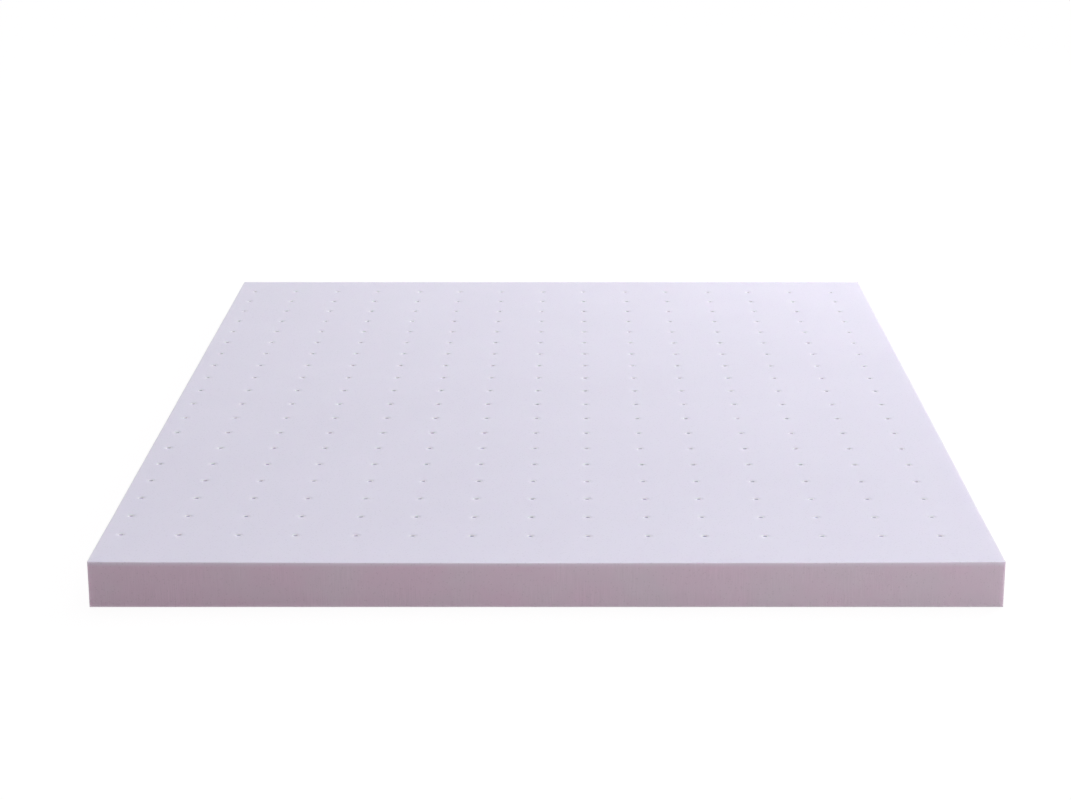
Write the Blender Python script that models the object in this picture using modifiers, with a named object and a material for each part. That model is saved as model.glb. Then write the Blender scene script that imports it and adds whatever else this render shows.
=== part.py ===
"""Foam mattress: one slab of open-cell foam, sawn to a bed's size and drilled with a grid of vent holes.

Metres, +Z up. The origin is the centre of the underside. +X runs across the bed and +Y along it,
from the foot end at -Y to the head end at +Y. The slab lies flat on its underside.
"""

import math

import bmesh
import bpy
from mathutils import Matrix

# The slab as it is sawn from the block: a two-person bed's size, eight centimetres thick.
WIDTH = 1.524
LENGTH = 2.032
THICKNESS = 0.080
EDGE_SOFTNESS = 0.002  # how far in the sawn edges and corners give way to a soft round
EDGE_SEGMENTS = 2

# The vent holes run straight through. A beam of drills makes one row at a time across the slab.
COLUMNS = 15
ROWS = 19
COLUMN_PITCH = 0.1002  # between drills on the beam
ROW_PITCH = 0.0995  # between one row and the next
FIRST_COLUMN = 0.0358  # from the left side to the first column
FIRST_ROW = 0.1395  # from the foot end to the first row
HOLE_DIAMETER = 0.00635
HOLE_SIDES = 6
DRILL_OVERRUN = 0.010  # how far each drill runs past both faces

# Each drill sits a little off its place on the beam, and the soft slab is fed a little unevenly under it.
DRILL_STRAY = 0.0017
DRILL_STEP = 2.65  # radians from one drill's stray to the next
DRILL_START = 3.23
FEED_DRIFT = 0.0059
FEED_STEP = 0.36  # radians from one row's drift to the next
FEED_START = -2.03
GRID_TURN = 0.0043  # radians clockwise from above: the sides are sawn a little askew of the grid

FOAM_COLOUR = (0.730, 0.693, 0.812, 1.0)
FOAM_ROUGHNESS = 0.95


def clear_scene():
    """Start from an empty scene."""
    for old in list(bpy.data.objects):
        bpy.data.objects.remove(old, do_unlink=True)


def new_collection(name):
    """A collection in the scene, for the parts or for the cutters."""
    collection = bpy.data.collections.new(name)
    bpy.context.scene.collection.children.link(collection)
    return collection


def foam_material():
    """Pale lilac open-cell foam: matt all over."""
    material = bpy.data.materials.new("lilac_foam")
    material.use_nodes = True
    shader = material.node_tree.nodes["Principled BSDF"]
    shader.inputs["Base Color"].default_value = FOAM_COLOUR
    shader.inputs["Roughness"].default_value = FOAM_ROUGHNESS
    shader.inputs["Metallic"].default_value = 0.0
    return material


def mesh_object(name, bm, collection):
    """An object that holds the finished mesh, in a collection."""
    mesh = bpy.data.meshes.new(name)
    bm.to_mesh(mesh)
    bm.free()
    made = bpy.data.objects.new(name, mesh)
    collection.objects.link(made)
    return made


def hole_centre(column, row):
    """Where a hole lies on the slab, from its column across and its row along."""
    stray = DRILL_STRAY * math.sin(DRILL_STEP * column + DRILL_START)
    drift = FEED_DRIFT * math.sin(FEED_STEP * row + FEED_START)
    across = -WIDTH / 2 + FIRST_COLUMN + column * COLUMN_PITCH + stray
    along = -LENGTH / 2 + FIRST_ROW + row * ROW_PITCH + drift
    return across + GRID_TURN * along, along - GRID_TURN * across


def make_drills(collection):
    """One straight drill for each hole, with the bore area of the round hole that it stands for."""
    step = 2 * math.pi / HOLE_SIDES
    corner_radius = HOLE_DIAMETER / 2 * math.sqrt(step / math.sin(step))
    bm = bmesh.new()
    for row in range(ROWS):
        for column in range(COLUMNS):
            across, along = hole_centre(column, row)
            bmesh.ops.create_cone(
                bm,
                cap_ends=True,
                segments=HOLE_SIDES,
                radius1=corner_radius,
                radius2=corner_radius,
                depth=THICKNESS + 2 * DRILL_OVERRUN,
                matrix=Matrix.Translation((across, along, THICKNESS / 2)),
            )
    drills = mesh_object("vent_drills", bm, collection)
    drills.hide_render = True
    drills.display_type = "WIRE"
    return drills


def make_slab(collection, drills):
    """The sawn block with soft edges, drilled through."""
    bm = bmesh.new()
    bmesh.ops.create_cube(bm, size=1.0, matrix=Matrix.Diagonal((WIDTH, LENGTH, THICKNESS, 1.0)))
    slab = mesh_object("foam_slab", bm, collection)
    slab.location.z = THICKNESS / 2
    slab.data.materials.append(foam_material())

    soften = slab.modifiers.new("soft edges", "BEVEL")
    soften.width = EDGE_SOFTNESS
    soften.segments = EDGE_SEGMENTS

    drill = slab.modifiers.new("vent holes", "BOOLEAN")
    drill.operation = "DIFFERENCE"
    drill.solver = "EXACT"
    drill.object = drills
    return slab


def main():
    clear_scene()
    mattress = new_collection("foam mattress")
    cutters = new_collection("cutters")
    make_slab(mattress, make_drills(cutters))


main()
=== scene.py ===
"""A bare foam mattress: one slab of pale lilac foam, sawn square and drilled with a grid of vent holes."""

import math
from collections import namedtuple

import bmesh
import bpy
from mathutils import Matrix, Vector


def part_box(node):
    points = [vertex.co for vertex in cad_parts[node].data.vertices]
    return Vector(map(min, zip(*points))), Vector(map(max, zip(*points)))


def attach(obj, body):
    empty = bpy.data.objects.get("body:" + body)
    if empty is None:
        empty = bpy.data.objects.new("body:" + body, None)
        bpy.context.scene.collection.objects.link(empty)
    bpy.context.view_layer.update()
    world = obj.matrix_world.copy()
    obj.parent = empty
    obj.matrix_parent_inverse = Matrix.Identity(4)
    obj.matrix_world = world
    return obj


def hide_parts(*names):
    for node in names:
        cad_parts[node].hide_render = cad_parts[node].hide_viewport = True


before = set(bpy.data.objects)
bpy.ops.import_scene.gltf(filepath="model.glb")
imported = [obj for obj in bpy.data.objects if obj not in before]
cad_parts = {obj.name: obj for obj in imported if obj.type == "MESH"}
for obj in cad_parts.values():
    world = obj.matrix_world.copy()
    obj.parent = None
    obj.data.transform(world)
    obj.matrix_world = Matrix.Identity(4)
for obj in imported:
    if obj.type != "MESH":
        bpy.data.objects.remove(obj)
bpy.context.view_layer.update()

# ---------------------------------------------------------------- the foam slab
# One slab of soft open-cell foam, dyed pale lilac right through. A long blade peels its two faces off a
# block, a saw cuts the sides, which opens the cells end on and leaves them pinker and faintly streaked,
# and a beam of drills makes the vents one row at a time before the slab is cut to length. The sides'
# colour is also darker than the face's with painted shade, with a painted glow paling their upper rim;
# the vents' mouths are paled with painted light and their bores darkened with painted shade.

extra_thickness = 0.0006  # foam is cut a little full
low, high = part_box("foam_slab")
width, length, thickness = high - low
thickness += extra_thickness

face_colour = (0.716, 0.685, 0.816, 1.0)
# The sides' colours: the sawn foam's own pinker tone, and painted shade that keeps them darker than the
# face.
side_colour_and_shade = (0.636, 0.494, 0.588, 1.0)
greyer_side_colour_and_shade = (0.612, 0.514, 0.588, 1.0)
painted_rim_glow = (0.618, 0.556, 0.628, 1.0)
rim_band = 0.011  # how far down a side the painted glow of light coming through the corner shows
rim_band_full = 0.003  # and down to where the painted glow shows in full
# A painted highlight that pales the vents' mouths, and painted shade that darkens their bores below the
# foam's own colour.
painted_mouth_light = (0.930, 0.915, 0.990, 1.0)
bore_colour_and_shade = (0.640, 0.612, 0.770, 1.0)
changing_depth = 0.004  # how deep in a vent the painted light and shade on the wall go on changing
mouth_band = (0.02, 0.12)  # where the mouth's painted light comes in, as shares of that depth
bore_band = (0.36, 0.55)  # and where the bore's painted shade does
sawn_slope, peeled_slope = 0.05, 0.65  # how upright the normal is where all is side, and where all is face
blotch_band = (0.35, 0.65)  # where the sides' clouds turn from one colour to the other
greyer_to_the_right = 0.20  # for each metre across the slab

cell_size = 0.001
cell_slope = 0.22  # from a cell's wall to the bottom of its hollow, as a share of the cell size
bubble_size = 0.006
pit_floor, pit_rim = 0.10, 0.26  # from a burst bubble's middle, as shares of the bubble size
pit_depth = 2.0  # against the depth of the cells
# painted shade in the hollows of burst bubbles, as a share taken off the colour
painted_pit_shade = 0.10
cloud_strength = 0.035
streaks_across, streaks_up = 560.0, 26.0  # to the metre
streaked_band = (0.38, 0.62)  # where the sides' clouds turn from bare to streaked
streak_strength = 0.12
streak_relief = 1.6  # against the depth of the pits
relief_depth = 0.0005
least_roughness = 0.88


def node(tree, kind, inputs=(), **settings):
    """A node with its settings, and its inputs set to values or joined to other nodes' sockets."""
    made = tree.nodes.new(kind)
    for name, value in settings.items():
        setattr(made, name, value)
    for name, value in dict(inputs).items():
        if isinstance(value, bpy.types.NodeSocket):
            tree.links.new(value, made.inputs[name])
        else:
            made.inputs[name].default_value = value
    return made


def maths(tree, operation, *values):
    """The result of a Math node on these values or sockets."""
    return node(tree, "ShaderNodeMath", enumerate(values), operation=operation).outputs[0]


def ranged(tree, value, start, end, at_start=0.0, at_end=1.0, soft=False):
    """A value read between two marks and turned into one between two others, in a straight or soft ramp."""
    ramp = node(
        tree, "ShaderNodeMapRange",
        {"Value": value, "From Min": start, "From Max": end, "To Min": at_start, "To Max": at_end},
        interpolation_type="SMOOTHSTEP" if soft else "LINEAR",
    )
    return ramp.outputs["Result"]


def blend_colours(tree, share, first, second):
    """The colour a share of the way from the first to the second."""
    first_socket, second_socket, result = 6, 7, 2  # the Mix node's own sockets for colours
    mix = node(
        tree, "ShaderNodeMix", {"Factor": share, first_socket: first, second_socket: second},
        data_type="RGBA",
    )
    return mix.outputs[result]


def blend_numbers(tree, share, first, second):
    """The number a share of the way from the first to the second."""
    first_socket, second_socket, result = 2, 3, 0  # the Mix node's own sockets for numbers
    mix = node(
        tree, "ShaderNodeMix", {"Factor": share, first_socket: first, second_socket: second},
        data_type="FLOAT",
    )
    return mix.outputs[result]


def clouds_at(tree, place, scale, detail, roughness=0.5):
    """Soft random patches at a place, so many to the metre, mostly between 0.3 and 0.7."""
    noise = node(
        tree, "ShaderNodeTexNoise",
        {"Vector": place, "Scale": scale, "Detail": detail, "Roughness": roughness},
    )
    return noise.outputs["Fac"]


def give_sockets(tree, in_out, sockets):
    """Named sockets on a node group: (name, type, default value or None)."""
    for name, kind, value in sockets:
        socket = tree.interface.new_socket(name=name, in_out=in_out, socket_type=kind)
        if value is not None:
            socket.default_value = value


def open_cell_group():
    """The fine cells of the foam: where the skin is pitted, its cloudiness, and the relief of the cells."""
    tree = bpy.data.node_groups.new("open foam cells", "ShaderNodeTree")
    give_sockets(tree, "INPUT", [
        ("Place", "NodeSocketVector", None),
        ("Cell Size", "NodeSocketFloat", cell_size),
        ("Bubble Size", "NodeSocketFloat", bubble_size),
    ])
    give_sockets(tree, "OUTPUT", [
        ("Pits", "NodeSocketFloat", None),
        ("Clouds", "NodeSocketFloat", None),
        ("Relief", "NodeSocketFloat", None),
    ])
    given = node(tree, "NodeGroupInput").outputs
    result = node(tree, "NodeGroupOutput")
    distance = {}
    for size, feature in (("Cell Size", "DISTANCE_TO_EDGE"), ("Bubble Size", "F1")):
        scale = maths(tree, "DIVIDE", 1.0, given[size])
        distance[size] = node(
            tree, "ShaderNodeTexVoronoi", {"Vector": given["Place"], "Scale": scale, "Randomness": 1.0},
            feature=feature,
        ).outputs["Distance"]
    hollows = ranged(tree, distance["Cell Size"], 0.0, cell_slope)
    pits = ranged(tree, distance["Bubble Size"], pit_floor, pit_rim, 1.0, 0.0, soft=True)
    relief = maths(tree, "SUBTRACT", maths(tree, "MULTIPLY", hollows, -1.0 / pit_depth), pits)
    clouds = clouds_at(tree, given["Place"], scale=3.2, detail=5.0, roughness=0.6)
    for name, value in (("Pits", pits), ("Clouds", clouds), ("Relief", relief)):
        tree.links.new(value, result.inputs[name])
    return tree


def lilac_foam():
    """The slab's one material: sides told from faces by which way they face, and vents by their depth."""
    material = bpy.data.materials.new("lilac foam")
    material.use_nodes = True
    tree = material.node_tree
    shader = tree.nodes["Principled BSDF"]
    place = node(tree, "ShaderNodeTexCoord").outputs["Object"]
    spot = node(tree, "ShaderNodeSeparateXYZ", {0: place}).outputs
    cells = node(
        tree, "ShaderNodeGroup", {"Place": place, "Cell Size": cell_size, "Bubble Size": bubble_size},
        node_tree=open_cell_group(),
    ).outputs

    # The sides, blotched, darker than the face partly with painted shade, and paler along the upper rim
    # with a painted glow of light through the corner.
    facing = node(tree, "ShaderNodeNewGeometry").outputs["Normal"]
    upright = maths(tree, "ABSOLUTE", node(tree, "ShaderNodeSeparateXYZ", {0: facing}).outputs["Z"])
    sawn = ranged(tree, upright, sawn_slope, peeled_slope, 1.0, 0.0, soft=True)
    blotches = clouds_at(tree, place, scale=9.0, detail=3.0)
    blotches = maths(tree, "MULTIPLY_ADD", spot["X"], greyer_to_the_right, blotches)
    side = blend_colours(tree, ranged(tree, blotches, *blotch_band), side_colour_and_shade, greyer_side_colour_and_shade)
    # Painted light: a paler band down the top of the sides for the glow through the corner.
    near_rim = ranged(tree, spot["Z"], thickness - rim_band, thickness - rim_band_full, soft=True)
    side = blend_colours(tree, near_rim, side, painted_rim_glow)
    colour = blend_colours(tree, sawn, face_colour, side)

    # The vents, by how deep in them a point is: painted light pales the mouths, and painted shade darkens
    # the bores.
    vent = node(tree, "ShaderNodeAttribute", attribute_name="vent_depth").outputs["Fac"]
    for band, colour_there in ((mouth_band, painted_mouth_light), (bore_band, bore_colour_and_shade)):
        colour = blend_colours(tree, ranged(tree, vent, *band), colour, colour_there)

    # Clouds all over, painted shade in the pits, and the saw's upright streaks in patches on the sides.
    cloudy = ranged(tree, cells["Clouds"], 0.0, 1.0, 1.0 - cloud_strength, 1.0 + cloud_strength)
    pitted = ranged(tree, cells["Pits"], 0.0, 1.0, 1.0, 1.0 - painted_pit_shade)
    drawn_out = node(
        tree, "ShaderNodeVectorMath", {0: place, 1: (streaks_across, streaks_across, streaks_up)},
        operation="MULTIPLY",
    ).outputs[0]
    streaks = clouds_at(tree, drawn_out, scale=1.0, detail=3.0, roughness=0.6)
    streaks = maths(tree, "MULTIPLY", maths(tree, "SUBTRACT", streaks, 0.5), sawn)
    streaked = ranged(tree, clouds_at(tree, place, scale=16.0, detail=2.0), *streaked_band, soft=True)
    streaks = maths(tree, "MULTIPLY", streaks, streaked)
    streaky = ranged(tree, streaks, -0.5, 0.5, 1.0 - streak_strength, 1.0 + streak_strength)
    shade = maths(tree, "MULTIPLY", maths(tree, "MULTIPLY", cloudy, pitted), streaky)
    colour = node(tree, "ShaderNodeVectorMath", {0: colour, "Scale": shade}, operation="SCALE").outputs[0]
    tree.links.new(colour, shader.inputs["Base Color"])

    relief = maths(tree, "ADD", cells["Relief"], maths(tree, "MULTIPLY", streaks, streak_relief))
    bump = node(tree, "ShaderNodeBump", {"Height": relief, "Strength": 0.5, "Distance": relief_depth})
    tree.links.new(bump.outputs["Normal"], shader.inputs["Normal"])
    roughness = ranged(tree, cells["Clouds"], 0.0, 1.0, least_roughness, 1.0)
    tree.links.new(roughness, shader.inputs["Roughness"])
    shader.inputs["IOR"].default_value = 1.3
    shader.inputs["Sheen Weight"].default_value = 0.12
    shader.inputs["Sheen Roughness"].default_value = 0.6
    shader.inputs["Subsurface Weight"].default_value = 1.0
    shader.inputs["Subsurface Radius"].default_value = (1.0, 0.85, 0.95)
    shader.inputs["Subsurface Scale"].default_value = 0.014
    return material


columns, rows = 15, 19
column_pitch, row_pitch = 0.1002, 0.0995
first_column, first_row = 0.0358, 0.1395  # from the slab's left side and its foot end
bore = 0.00635
vent_sides = 12
VentRing = namedtuple("VentRing", "radius depth")  # metres from the vent's axis, and below the face
vent_rings = [
    VentRing(0.0125, 0.0000),
    VentRing(0.0056, 0.0001),
    VentRing(0.0048, 0.0008),
    VentRing(0.0040, 0.0024),
    VentRing(bore / 2, thickness / 2),
]


def one_vent():
    """The upper half of the square of foam round one vent, from its outer edge in to the vent's wall."""
    bm = bmesh.new()
    depth_layer = bm.verts.layers.float.new("vent_depth")
    half = thickness / 2
    first_turn = math.pi / vent_sides
    quarter_square = [(1, math.tan(first_turn)), (1, 1), (math.tan(first_turn), 1)]
    rings = []
    ring = []
    for quarter in range(4):
        for x, y in quarter_square:
            for _ in range(quarter):
                x, y = -y, x
            ring.append(bm.verts.new((x * column_pitch / 2, y * row_pitch / 2, half)))
    rings.append(ring)
    for radius, depth in vent_rings:
        ring = []
        for side in range(vent_sides):
            turn = first_turn + 2 * math.pi * side / vent_sides
            corner = bm.verts.new((radius * math.cos(turn), radius * math.sin(turn), half - depth))
            corner[depth_layer] = min(1.0, depth / changing_depth)
            ring.append(corner)
        rings.append(ring)
    for outer, inner in zip(rings, rings[1:]):
        for side in range(vent_sides):
            after = (side + 1) % vent_sides
            bm.faces.new((outer[side], outer[after], inner[after], inner[side]))
    mesh = bpy.data.meshes.new("one vent")
    bm.to_mesh(mesh)
    bm.free()
    return mesh


def vent_spacing_group():
    """Where a point at a distance from the first vent, counted in even pitches, lies on the slab."""
    tree = bpy.data.node_groups.new("vent spacing", "GeometryNodeTree")
    give_sockets(tree, "INPUT", [
        ("Distance", "NodeSocketFloat", None),
        ("Size", "NodeSocketFloat", 1.0),
        ("First Vent", "NodeSocketFloat", 0.05),
        ("Last Vent", "NodeSocketFloat", 1.0),
        ("Pitch", "NodeSocketFloat", 0.1),
        ("Stray", "NodeSocketFloat", 0.0),
        ("Stray Step", "NodeSocketFloat", 1.0),
        ("Stray Start", "NodeSocketFloat", 0.0),
        ("Kept Round", "NodeSocketFloat", 0.0125),
    ])
    give_sockets(tree, "OUTPUT", [("Place", "NodeSocketFloat", None), ("Inside", "NodeSocketFloat", None)])
    given = node(tree, "NodeGroupInput").outputs
    result = node(tree, "NodeGroupOutput")
    distance, last, kept_round = given["Distance"], given["Last Vent"], given["Kept Round"]
    half_pitch = maths(tree, "MULTIPLY", given["Pitch"], 0.5)

    # The outer squares are stretched or squeezed to the margins, all but the foam close round a vent.
    start = maths(tree, "MULTIPLY", half_pitch, -1.0)
    end = maths(tree, "MULTIPLY", kept_round, -1.0)
    before = ranged(tree, distance, start, end, 1.0, 0.0)
    start = maths(tree, "ADD", last, kept_round)
    end = maths(tree, "ADD", last, half_pitch)
    after = ranged(tree, distance, start, end)
    last_margin = maths(
        tree, "SUBTRACT", maths(tree, "SUBTRACT", given["Size"], given["First Vent"]), last
    )
    before_shift = maths(
        tree, "MULTIPLY", before, maths(tree, "SUBTRACT", half_pitch, given["First Vent"])
    )
    after_shift = maths(tree, "MULTIPLY", after, maths(tree, "SUBTRACT", last_margin, half_pitch))

    # The vents stray from even pitches as the drill beam does.
    turn = maths(
        tree, "MULTIPLY_ADD", maths(tree, "DIVIDE", distance, given["Pitch"]), given["Stray Step"],
        given["Stray Start"],
    )
    stray = maths(tree, "MULTIPLY", maths(tree, "SINE", turn), given["Stray"])
    inside = maths(tree, "SUBTRACT", maths(tree, "SUBTRACT", 1.0, before), after)
    place = distance
    for shift in (
        before_shift,
        after_shift,
        maths(tree, "MULTIPLY", stray, inside),
        given["First Vent"],
        maths(tree, "MULTIPLY", given["Size"], -0.5),
    ):
        place = maths(tree, "ADD", place, shift)
    tree.links.new(place, result.inputs["Place"])
    tree.links.new(inside, result.inputs["Inside"])
    return tree


def drilled_slab_tree():
    """One vent's square of foam, repeated over the slab, spaced, given its sides and its lower half."""
    tree = bpy.data.node_groups.new("drilled slab", "GeometryNodeTree")
    give_sockets(tree, "INPUT", [
        ("Geometry", "NodeSocketGeometry", None),
        ("Width", "NodeSocketFloat", 1.5),
        ("Length", "NodeSocketFloat", 2.0),
        ("Thickness", "NodeSocketFloat", 0.08),
        ("Columns", "NodeSocketInt", 15),
        ("Rows", "NodeSocketInt", 19),
        ("Column Pitch", "NodeSocketFloat", 0.1),
        ("Row Pitch", "NodeSocketFloat", 0.1),
        ("First Column", "NodeSocketFloat", 0.05),
        ("First Row", "NodeSocketFloat", 0.05),
        ("Drill Stray", "NodeSocketFloat", 0.0),
        ("Drill Step", "NodeSocketFloat", 1.0),
        ("Drill Start", "NodeSocketFloat", 0.0),
        ("Feed Drift", "NodeSocketFloat", 0.0),
        ("Feed Step", "NodeSocketFloat", 1.0),
        ("Feed Start", "NodeSocketFloat", 0.0),
        ("Grid Turn", "NodeSocketFloat", 0.0),
        ("Bottom Softness", "NodeSocketFloat", 1.0),
        ("Corner Softness", "NodeSocketFloat", 1.0),
        ("Hollow", "NodeSocketFloat", 0.0),
        ("Hollow Length", "NodeSocketFloat", 0.5),
        ("Unevenness", "NodeSocketFloat", 0.0),
        ("Saw Wander", "NodeSocketFloat", 0.0),
        ("Seed", "NodeSocketFloat", 0.0),
        ("Foam", "NodeSocketMaterial", None),
    ])
    give_sockets(tree, "OUTPUT", [("Geometry", "NodeSocketGeometry", None)])
    given = node(tree, "NodeGroupInput").outputs
    result = node(tree, "NodeGroupOutput")
    joining_distance = 0.00001
    sharp = math.radians(60)  # the outer edges turn by more than this, and the vents' mouths by less
    out_to_face, out_to_side = 0.9, 0.9999  # shares of the way out, allowing for rounding
    half_up = maths(tree, "MULTIPLY", given["Thickness"], 0.5)
    half_of = {
        "X": maths(tree, "MULTIPLY", given["Width"], 0.5),
        "Y": maths(tree, "MULTIPLY", given["Length"], 0.5),
    }

    # The squares of foam, edge to edge, at even pitches.
    last_column = maths(
        tree, "MULTIPLY", maths(tree, "SUBTRACT", given["Columns"], 1.0), given["Column Pitch"]
    )
    last_row = maths(
        tree, "MULTIPLY", maths(tree, "SUBTRACT", given["Rows"], 1.0), given["Row Pitch"]
    )
    vents = node(tree, "GeometryNodeMeshGrid", {
        "Size X": last_column,
        "Size Y": last_row,
        "Vertices X": given["Columns"],
        "Vertices Y": given["Rows"],
    }).outputs["Mesh"]
    squares = node(
        tree, "GeometryNodeInstanceOnPoints", {"Points": vents, "Instance": given["Geometry"]}
    ).outputs["Instances"]
    squares = node(tree, "GeometryNodeRealizeInstances", {"Geometry": squares}).outputs["Geometry"]
    sheet = node(
        tree, "GeometryNodeMergeByDistance", {"Geometry": squares, "Distance": joining_distance}
    ).outputs["Geometry"]

    # Each vent moved to its own place, and the outer squares drawn out or squeezed to the sawn sides.
    spacing = vent_spacing_group()
    here = node(tree, "ShaderNodeSeparateXYZ", {0: node(tree, "GeometryNodeInputPosition").outputs[0]})
    spaced = {}
    for axis, last, named in (
        ("X", last_column, {
            "Size": "Width", "First Vent": "First Column", "Pitch": "Column Pitch",
            "Stray": "Drill Stray", "Stray Step": "Drill Step", "Stray Start": "Drill Start",
        }),
        ("Y", last_row, {
            "Size": "Length", "First Vent": "First Row", "Pitch": "Row Pitch",
            "Stray": "Feed Drift", "Stray Step": "Feed Step", "Stray Start": "Feed Start",
        }),
    ):
        inputs = {name: given[source] for name, source in named.items()}
        inputs["Distance"] = maths(tree, "MULTIPLY_ADD", last, 0.5, here.outputs[axis])
        inputs["Last Vent"] = last
        inputs["Kept Round"] = vent_rings[0].radius
        spaced[axis] = node(tree, "GeometryNodeGroup", inputs, node_tree=spacing).outputs
    places = {}
    for axis, other, turn in (
        ("X", "Y", given["Grid Turn"]),
        ("Y", "X", maths(tree, "MULTIPLY", given["Grid Turn"], -1.0)),
    ):
        askew = maths(tree, "MULTIPLY", spaced[other]["Place"], turn)
        places[axis] = maths(tree, "MULTIPLY_ADD", askew, spaced[axis]["Inside"], spaced[axis]["Place"])
    spaced_out = node(
        tree, "ShaderNodeCombineXYZ", {"X": places["X"], "Y": places["Y"], "Z": here.outputs["Z"]}
    ).outputs[0]
    sheet = node(
        tree, "GeometryNodeSetPosition", {"Geometry": sheet, "Position": spaced_out}
    ).outputs["Geometry"]

    # The sides, drawn down from the rim to half way, and the lower half as the upper one's reflection.
    rim = node(
        tree, "FunctionNodeCompare",
        {2: node(tree, "GeometryNodeInputMeshEdgeNeighbors").outputs["Face Count"], 3: 1},
        data_type="INT", operation="EQUAL",
    ).outputs[0]
    on_top = maths(tree, "GREATER_THAN", here.outputs["Z"], maths(tree, "MULTIPLY", half_up, 0.5))
    rim = node(tree, "FunctionNodeBooleanMath", {0: rim, 1: on_top}, operation="AND").outputs[0]
    down = node(
        tree, "ShaderNodeCombineXYZ", {"Z": maths(tree, "MULTIPLY", half_up, -1.0)}
    ).outputs[0]
    upper = node(
        tree, "GeometryNodeExtrudeMesh",
        {"Mesh": sheet, "Selection": rim, "Offset": down, "Offset Scale": 1.0},
        mode="EDGES",
    ).outputs["Mesh"]
    lower = node(
        tree, "GeometryNodeTransform", {"Geometry": upper, "Scale": (1.0, 1.0, -1.0)}
    ).outputs["Geometry"]
    lower = node(tree, "GeometryNodeFlipFaces", {"Mesh": lower}).outputs["Mesh"]
    halves = node(tree, "GeometryNodeJoinGeometry")
    for half in (upper, lower):
        tree.links.new(half, halves.inputs[0])
    slab = node(
        tree, "GeometryNodeMergeByDistance", {"Geometry": halves.outputs[0], "Distance": joining_distance}
    ).outputs["Geometry"]

    # The outer edges and corners are marked for softening, before the saw's wander moves them.
    angle = node(tree, "GeometryNodeInputMeshEdgeAngle").outputs["Unsigned Angle"]
    steep = maths(tree, "GREATER_THAN", angle, sharp)
    at_face = maths(
        tree, "GREATER_THAN", maths(tree, "ABSOLUTE", here.outputs["Z"]),
        maths(tree, "MULTIPLY", half_up, out_to_face),
    )
    above = maths(tree, "GREATER_THAN", here.outputs["Z"], 0.0)
    softness = blend_numbers(tree, above, given["Bottom Softness"], 1.0)
    softness = blend_numbers(tree, at_face, given["Corner Softness"], softness)
    slab = node(
        tree, "GeometryNodeStoreNamedAttribute",
        {"Geometry": slab, "Name": "bevel_weight_edge", "Value": maths(tree, "MULTIPLY", steep, softness)},
        data_type="FLOAT", domain="EDGE",
    ).outputs["Geometry"]

    # The slab as it lies: its faces roll gently, its foot end is thin in the middle, its sides wander.
    rolls = {}
    for amount, scale, detail in (("Unevenness", 2.4, 1.5), ("Saw Wander", 7.0, 1.0)):
        noise = node(
            tree, "ShaderNodeTexNoise", {"W": given["Seed"], "Scale": scale, "Detail": detail},
            noise_dimensions="4D",
        ).outputs["Fac"]
        both_ways = maths(tree, "MULTIPLY", given[amount], 2.0)
        rolls[amount] = maths(tree, "MULTIPLY", maths(tree, "SUBTRACT", noise, 0.5), both_ways)
    off_middle = maths(tree, "DIVIDE", here.outputs["X"], half_of["X"])
    bow = maths(tree, "SUBTRACT", 1.0, maths(tree, "MULTIPLY", off_middle, off_middle))
    from_foot = maths(tree, "ADD", half_of["Y"], here.outputs["Y"])
    near_foot = ranged(tree, from_foot, 0.0, given["Hollow Length"], 1.0, 0.0, soft=True)
    hollow = maths(tree, "MULTIPLY", maths(tree, "MULTIPLY", bow, near_foot), given["Hollow"])
    share_up = maths(
        tree, "DIVIDE", maths(tree, "ADD", here.outputs["Z"], half_up), given["Thickness"]
    )
    rise = maths(tree, "MULTIPLY", maths(tree, "SUBTRACT", rolls["Unevenness"], hollow), share_up)
    outward = {}
    for axis in ("X", "Y"):
        reach = maths(tree, "DIVIDE", here.outputs[axis], half_of[axis])
        at_side = maths(tree, "GREATER_THAN", maths(tree, "ABSOLUTE", reach), out_to_side)
        side = maths(tree, "MULTIPLY", maths(tree, "SIGN", reach), at_side)
        outward[axis] = maths(tree, "MULTIPLY", side, rolls["Saw Wander"])
    settle = node(
        tree, "ShaderNodeCombineXYZ",
        {"X": outward["X"], "Y": outward["Y"], "Z": maths(tree, "ADD", rise, half_up)},
    ).outputs[0]
    slab = node(tree, "GeometryNodeSetPosition", {"Geometry": slab, "Offset": settle}).outputs["Geometry"]

    slab = node(tree, "GeometryNodeSetShadeSmooth", {"Geometry": slab}).outputs["Geometry"]
    slab = node(tree, "GeometryNodeRealizeInstances", {"Geometry": slab}).outputs["Geometry"]
    slab = node(
        tree, "GeometryNodeSetMaterial", {"Geometry": slab, "Material": given["Foam"]}
    ).outputs["Geometry"]
    tree.links.new(slab, result.inputs["Geometry"])
    return tree


def set_inputs(modifier, values):
    """The named inputs of a Geometry Nodes modifier."""
    for item in modifier.node_group.interface.items_tree:
        if item.in_out == "INPUT" and item.name in values:
            modifier[item.identifier] = values[item.name]


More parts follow.
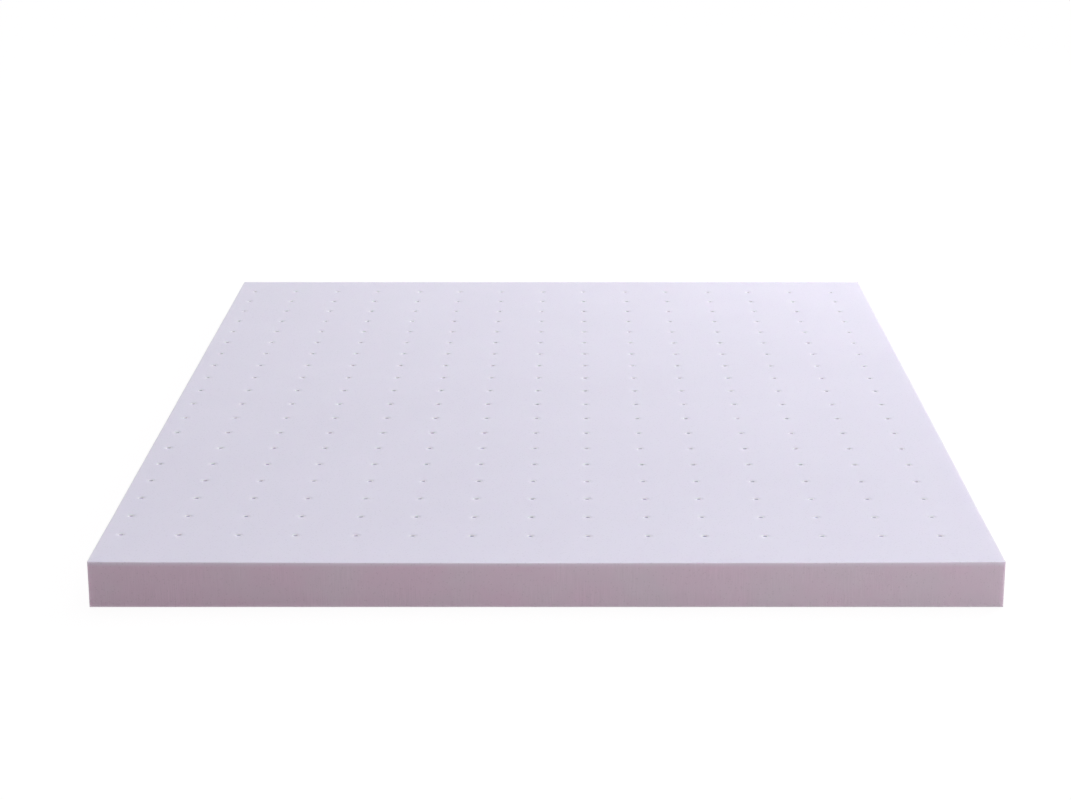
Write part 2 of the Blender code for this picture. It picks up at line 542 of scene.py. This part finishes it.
vent_square = bpy.data.objects.new("one vent", one_vent())
bpy.context.scene.collection.objects.link(vent_square)
drilling = vent_square.modifiers.new("drilled slab", "NODES")
drilling.node_group = drilled_slab_tree()
set_inputs(drilling, {
    "Width": width,
    "Length": length,
    "Thickness": thickness,
    "Columns": columns,
    "Rows": rows,
    "Column Pitch": column_pitch,
    "Row Pitch": row_pitch,
    "First Column": first_column,
    "First Row": first_row,
    "Drill Stray": 0.0017,
    "Drill Step": 2.65,
    "Drill Start": 3.23,
    "Feed Drift": 0.0059,
    "Feed Step": 0.36,
    "Feed Start": -2.03,
    "Grid Turn": 0.0043,
    "Bottom Softness": 0.06,
    "Corner Softness": 0.6,
    "Hollow": 0.0020,
    "Hollow Length": 0.6,
    "Unevenness": 0.0005,
    "Saw Wander": 0.0004,
    "Seed": 4.0,
    "Foam": lilac_foam(),
})
softening = vent_square.modifiers.new("soft edges", "BEVEL")
softening.limit_method = "WEIGHT"
softening.width = 0.0016
softening.segments = 3
softening.harden_normals = True

finished = vent_square.evaluated_get(bpy.context.evaluated_depsgraph_get())
mesh = bpy.data.meshes.new_from_object(finished)
mesh.name = "drilled_foam_slab"
slab = bpy.data.objects.new("drilled_foam_slab", mesh)
bpy.context.scene.collection.objects.link(slab)
bpy.data.objects.remove(vent_square)

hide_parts("foam_slab")
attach(slab, "root")

# ---------------------------------------------------------------- the studio
# A plain white floor, lit from within so that it runs out of sight without a shadow, but not under the
# slab, whose vents would show it. One broad soft light from behind, a softer one high on the right, and a
# faint one low in front.

floor_reach = 60.0
floor_gap = 0.0002  # the floor is just under the slab, so that their faces don't flicker
lit_margin = 0.003  # how far in under the slab the floor is lit
floor_glow = 0.42
floor_whiteness = 1.12  # how bright the white is that the camera sees over the floor
whiteness_share = 0.75  # and how much of it there is

floor_mesh = bpy.data.meshes.new("floor")
floor_bm = bmesh.new()
bmesh.ops.create_grid(floor_bm, x_segments=1, y_segments=1, size=floor_reach)
floor_bm.to_mesh(floor_mesh)
floor_bm.free()
floor = bpy.data.objects.new("floor", floor_mesh)
bpy.context.scene.collection.objects.link(floor)
floor.location.z = low.z - floor_gap


def lit_floor():
    """White floor, evenly lit from within except where the slab covers it, and whiter still to look at."""
    material = bpy.data.materials.new("white floor")
    material.use_nodes = True
    tree = material.node_tree
    place = node(tree, "ShaderNodeTexCoord").outputs["Object"]
    spot = node(tree, "ShaderNodeSeparateXYZ", {0: place}).outputs
    under = [
        maths(tree, "LESS_THAN", maths(tree, "ABSOLUTE", spot[axis]), size / 2 - lit_margin)
        for axis, size in (("X", width), ("Y", length))
    ]
    uncovered = maths(tree, "SUBTRACT", 1.0, maths(tree, "MULTIPLY", *under))
    paint = tree.nodes["Principled BSDF"]
    paint.inputs["Base Color"].default_value = (0.30, 0.30, 0.30, 1.0)
    paint.inputs["Roughness"].default_value = 0.9
    paint.inputs["Emission Color"].default_value = (1.0, 0.955, 0.97, 1.0)
    tree.links.new(maths(tree, "MULTIPLY", uncovered, floor_glow), paint.inputs["Emission Strength"])
    white = node(tree, "ShaderNodeEmission", {"Color": (1.0, 1.0, 1.0, 1.0), "Strength": floor_whiteness})
    seen = node(tree, "ShaderNodeLightPath").outputs["Is Camera Ray"]
    share = maths(tree, "MULTIPLY", maths(tree, "MULTIPLY", seen, uncovered), whiteness_share)
    mix = node(tree, "ShaderNodeMixShader", {0: share, 1: paint.outputs[0], 2: white.outputs[0]})
    tree.links.new(mix.outputs[0], tree.nodes["Material Output"].inputs["Surface"])
    return material


floor_mesh.materials.append(lit_floor())


def add_light(name, kind, place, towards, colour, power, size):
    """A lamp at a place, turned towards a point. A sun's size is its angle, an area light's its side."""
    lamp = bpy.data.lights.new(name, kind)
    lamp.color = colour
    lamp.energy = power
    if kind == "SUN":
        lamp.angle = size
    else:
        lamp.size = size
    holder = bpy.data.objects.new(name, lamp)
    bpy.context.scene.collection.objects.link(holder)
    holder.location = place
    holder.rotation_euler = (Vector(towards) - Vector(place)).to_track_quat("-Z", "Y").to_euler()
    holder.visible_camera = False


middle_of_slab = (0.0, 0.0, 0.0)
foot_of_slab = (0.2, -1.0, 0.04)
cool_white = (0.99, 0.99, 1.0)
green_white = (0.98, 1.0, 0.99)
add_light(
    "back soft light", "SUN", place=(0.5, 2.0, 3.2), towards=middle_of_slab, colour=cool_white,
    power=1.83, size=math.radians(60),
)
add_light(
    "right soft light", "AREA", place=(3.0, 2.5, 2.5), towards=middle_of_slab, colour=cool_white,
    power=105.0, size=2.0,
)
add_light(
    "low front light", "AREA", place=(1.2, -3.0, 0.8), towards=foot_of_slab, colour=green_white,
    power=22.0, size=1.5,
)

world = bpy.data.worlds.new("studio")
world.use_nodes = True
bpy.context.scene.world = world
air = world.node_tree
glow = air.nodes["Background"]
glow.inputs["Color"].default_value = (0.98, 0.98, 1.0, 1.0)
glow.inputs["Strength"].default_value = 0.20
backdrop = node(air, "ShaderNodeBackground", {"Color": (1.0, 1.0, 1.0, 1.0), "Strength": 1.02})
seen = node(air, "ShaderNodeLightPath").outputs["Is Camera Ray"]
air_mix = node(air, "ShaderNodeMixShader", {0: seen, 1: glow.outputs[0], 2: backdrop.outputs[0]})
air.links.new(air_mix.outputs[0], air.nodes["World Output"].inputs["Surface"])
bpy.context.scene.view_settings.view_transform = "Standard"

# ---------------------------------------------------------------- the camera
# It looks straight along the bed from beyond the foot end, a little to the right of the middle, tipped
# down from above.

looking_down = 16.030  # degrees

lens = bpy.data.cameras.new("camera")
lens.sensor_width = 36.0
lens.lens = 79.63
lens.shift_x = -0.0242
lens.clip_end = 200.0
camera = bpy.data.objects.new("camera", lens)
bpy.context.scene.collection.objects.link(camera)
camera.location = (0.025, -4.718, 1.423)
camera.rotation_euler = (math.radians(90.0 - looking_down), 0.0, 0.0)
bpy.context.scene.camera = camera
